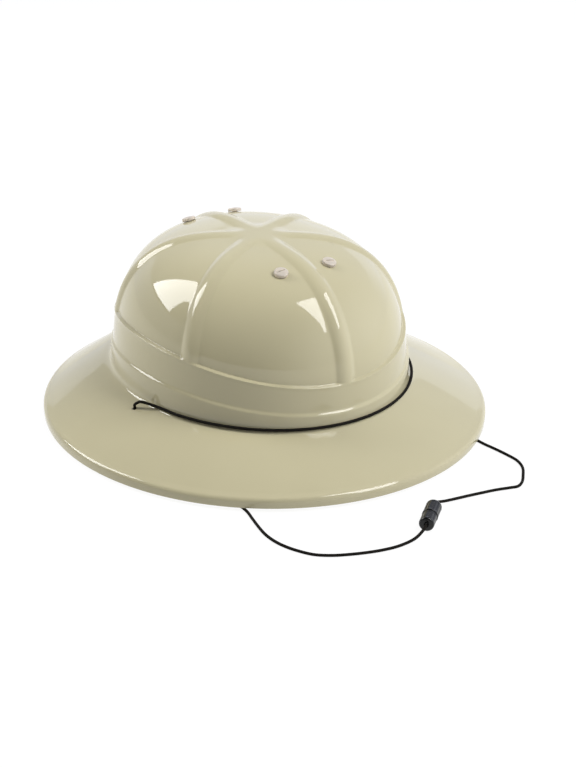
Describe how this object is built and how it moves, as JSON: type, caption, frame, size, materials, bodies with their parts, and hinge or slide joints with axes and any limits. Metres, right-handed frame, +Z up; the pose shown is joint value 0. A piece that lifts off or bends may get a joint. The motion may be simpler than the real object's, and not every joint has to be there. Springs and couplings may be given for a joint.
{
  "type": "pith helmet",
  "caption": "Moulded plastic pith helmet with raised ribs and band, sloping brim, rivets, and an elastic chin cord with a clasp.",
  "frame": {"origin": "on the surface the helmet rests on, under the middle of the box of the helmet without its free cord", "axes": "+Z up, -Y towards the helmet's front, +X towards the wearer's left"},
  "size_m": [0.2996, 0.3688, 0.1246],
  "materials": {
    "shell": "glossy moulded khaki plastic",
    "rivet": "pale translucent plastic",
    "cord": "black braided elastic",
    "clasp": "black moulded plastic"
  },
  "bodies": {
    "root": {"helmet_shell": "shell", "crown_cord": "cord", "rivet_front_right": "rivet", "rivet_front_left": "rivet", "rivet_rear_right": "rivet", "rivet_rear_left": "rivet", "chin_cord_left": "cord", "chin_cord_right": "cord", "clasp_socket": "clasp", "clasp_plug": "clasp"}
  },
  "joints": []
}
